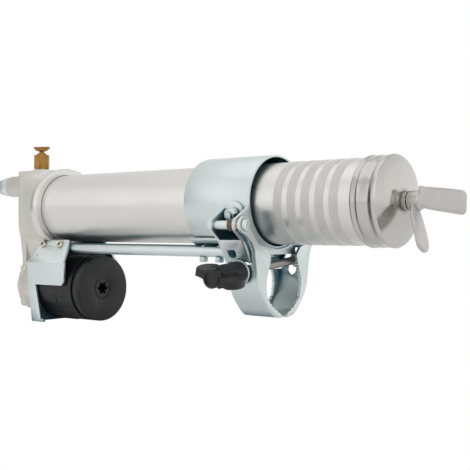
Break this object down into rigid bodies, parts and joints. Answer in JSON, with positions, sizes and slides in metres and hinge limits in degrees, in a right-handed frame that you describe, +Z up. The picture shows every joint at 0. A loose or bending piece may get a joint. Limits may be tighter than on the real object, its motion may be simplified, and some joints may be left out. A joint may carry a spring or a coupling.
{
  "type": "drill-powered grease applicator",
  "caption": "Hand-held grease barrel with a pump head driven by a drill, a gear housing with a star socket, a drill clamp with jaws and a wing handle.",
  "frame": {"origin": "centre of the drive cover's front face, on the drive axis", "axes": "+X along the barrel from the pump head to the wing handle, +Z up from the drive axis to the barrel axis, +Y to the side away from the clamp knob"},
  "size_m": [0.4485, 0.1133, 0.1506],
  "materials": {
    "cast_aluminium": "bead-blasted casting",
    "seal_rubber": "moulded rubber",
    "brass": "turned brass",
    "zinc_plate": "clear zinc plate",
    "bright_steel": "ground steel",
    "bronze": "sintered bronze",
    "dark_steel": "oiled steel",
    "black_hub": "blackened steel",
    "black_plastic": "moulded nylon",
    "yellow_zinc": "yellow zinc plate",
    "thread_steel": "rolled thread",
    "satin_aluminium": "satin anodised",
    "cast_steel": "polished casting"
  },
  "bodies": {
    "frame": {"head_casting": "cast_aluminium", "barrel_gasket": "seal_rubber", "vent_valve_body": "brass", "outlet_fitting": "zinc_plate", "check_spring": "bright_steel", "rear_cover": "cast_aluminium", "case_screws": "bright_steel", "rear_bearing": "bronze", "front_bearing": "bronze", "carrier_bearing": "bronze", "gear_housing": "black_plastic", "drive_cover": "black_plastic", "head_bracket": "zinc_plate", "bracket_screws": "yellow_zinc", "guide_rod_near": "zinc_plate", "guide_rod_far": "zinc_plate", "rod_bolts": "zinc_plate", "sleeve": "zinc_plate", "clamp_bracket": "zinc_plate", "sleeve_bolts": "zinc_plate", "sleeve_nuts": "zinc_plate", "pivot_pin_near": "zinc_plate", "pivot_pin_far": "zinc_plate", "pivot_bushes": "brass", "pivot_washers": "bright_steel", "barrel": "satin_aluminium", "end_cap": "bright_steel", "cap_bush": "bright_steel", "follower_spring": "bright_steel"},
    "planet_carrier": {"planet_carrier": "dark_steel"},
    "planet_a": {"planet_gear_a": "dark_steel"},
    "planet_b": {"planet_gear_b": "dark_steel"},
    "planet_c": {"planet_gear_c": "dark_steel"},
    "drive_hub": {"drive_hub": "black_hub"},
    "plunger": {"pump_plunger": "bright_steel"},
    "vent_screw": {"vent_screw": "brass"},
    "check_ball": {"check_ball": "bright_steel"},
    "jaw_near": {"jaw_near": "zinc_plate", "knob_washer": "zinc_plate"},
    "jaw_far": {"jaw_far": "zinc_plate"},
    "clamp_bolt": {"clamp_bolt": "thread_steel"},
    "knob": {"wing_knob": "black_plastic"},
    "follower": {"follower_piston": "seal_rubber"},
    "pull_rod": {"pull_rod": "bright_steel", "wing_handle": "cast_steel"}
  },
  "joints": [
    {"name": "drive_spin", "type": "hinge", "parent": "frame", "child": "drive_hub", "pos_m": [0, 0, 0], "axis": [1, 0, 0], "continuous": true},
    {"name": "carrier_spin", "type": "hinge", "parent": "frame", "child": "planet_carrier", "pos_m": [-0.0452, 0, 0], "axis": [1, 0, 0], "continuous": true},
    {"name": "planet_a_spin", "type": "hinge", "parent": "planet_carrier", "child": "planet_a", "pos_m": [-0.0452, 0, 0.0144], "axis": [1, 0, 0], "continuous": true},
    {"name": "planet_b_spin", "type": "hinge", "parent": "planet_carrier", "child": "planet_b", "pos_m": [-0.0452, -0.01247, -0.0072], "axis": [1, 0, 0], "continuous": true},
    {"name": "planet_c_spin", "type": "hinge", "parent": "planet_carrier", "child": "planet_c", "pos_m": [-0.0452, 0.01247, -0.0072], "axis": [1, 0, 0], "continuous": true},
    {"name": "plunger_stroke", "type": "slide", "parent": "frame", "child": "plunger", "axis": [0, 0, 1], "range_m": [-0.008, 0]},
    {"name": "vent_screw_turn", "type": "hinge", "parent": "frame", "child": "vent_screw", "pos_m": [-0.0807, 0, 0.1188], "axis": [0, 0, 1], "range_deg": [0, 720]},
    {"name": "check_ball_lift", "type": "slide", "parent": "frame", "child": "check_ball", "axis": [-1, 0, 0], "range_m": [0, 0.0012], "deforming": ["check_spring"]},
    {"name": "follower_slide", "type": "slide", "parent": "frame", "child": "follower", "axis": [1, 0, 0], "range_m": [0, 0.235], "deforming": ["follower_spring"]},
    {"name": "handle_turn", "type": "hinge", "parent": "follower", "child": "pull_rod", "pos_m": [0.2898, 0, 0.0668], "axis": [1, 0, 0], "range_deg": [0, 90]},
    {"name": "jaw_near_swing", "type": "hinge", "parent": "frame", "child": "jaw_near", "pos_m": [0.1858, -0.0435, 0.0518], "axis": [-1, 0, 0], "range_deg": [0, 6]},
    {"name": "jaw_far_swing", "type": "hinge", "parent": "frame", "child": "jaw_far", "pos_m": [0.1858, 0.0435, 0.0518], "axis": [1, 0, 0], "range_deg": [0, 6]},
    {"name": "clamp_bolt_slide", "type": "slide", "parent": "jaw_near", "child": "clamp_bolt", "axis": [0, 0.9945, 0.1045], "range_m": [0, 0.007]},
    {"name": "knob_turn", "type": "hinge", "parent": "jaw_near", "child": "knob", "pos_m": [0.1728, -0.0304, 0.0198], "axis": [0, -0.9945, -0.1045], "range_deg": [0, 1440]}
  ],
  "couplings": [
    {"joint": "carrier_spin", "follows": "drive_spin", "ratio": 0.25},
    {"joint": "planet_a_spin", "follows": "drive_spin", "ratio": -0.75},
    {"joint": "planet_b_spin", "follows": "drive_spin", "ratio": -0.75},
    {"joint": "planet_c_spin", "follows": "drive_spin", "ratio": -0.75},
    {"joint": "jaw_far_swing", "follows": "jaw_near_swing", "ratio": 1},
    {"joint": "clamp_bolt_slide", "follows": "jaw_near_swing", "m_per_rad": 0.06}
  ]
}
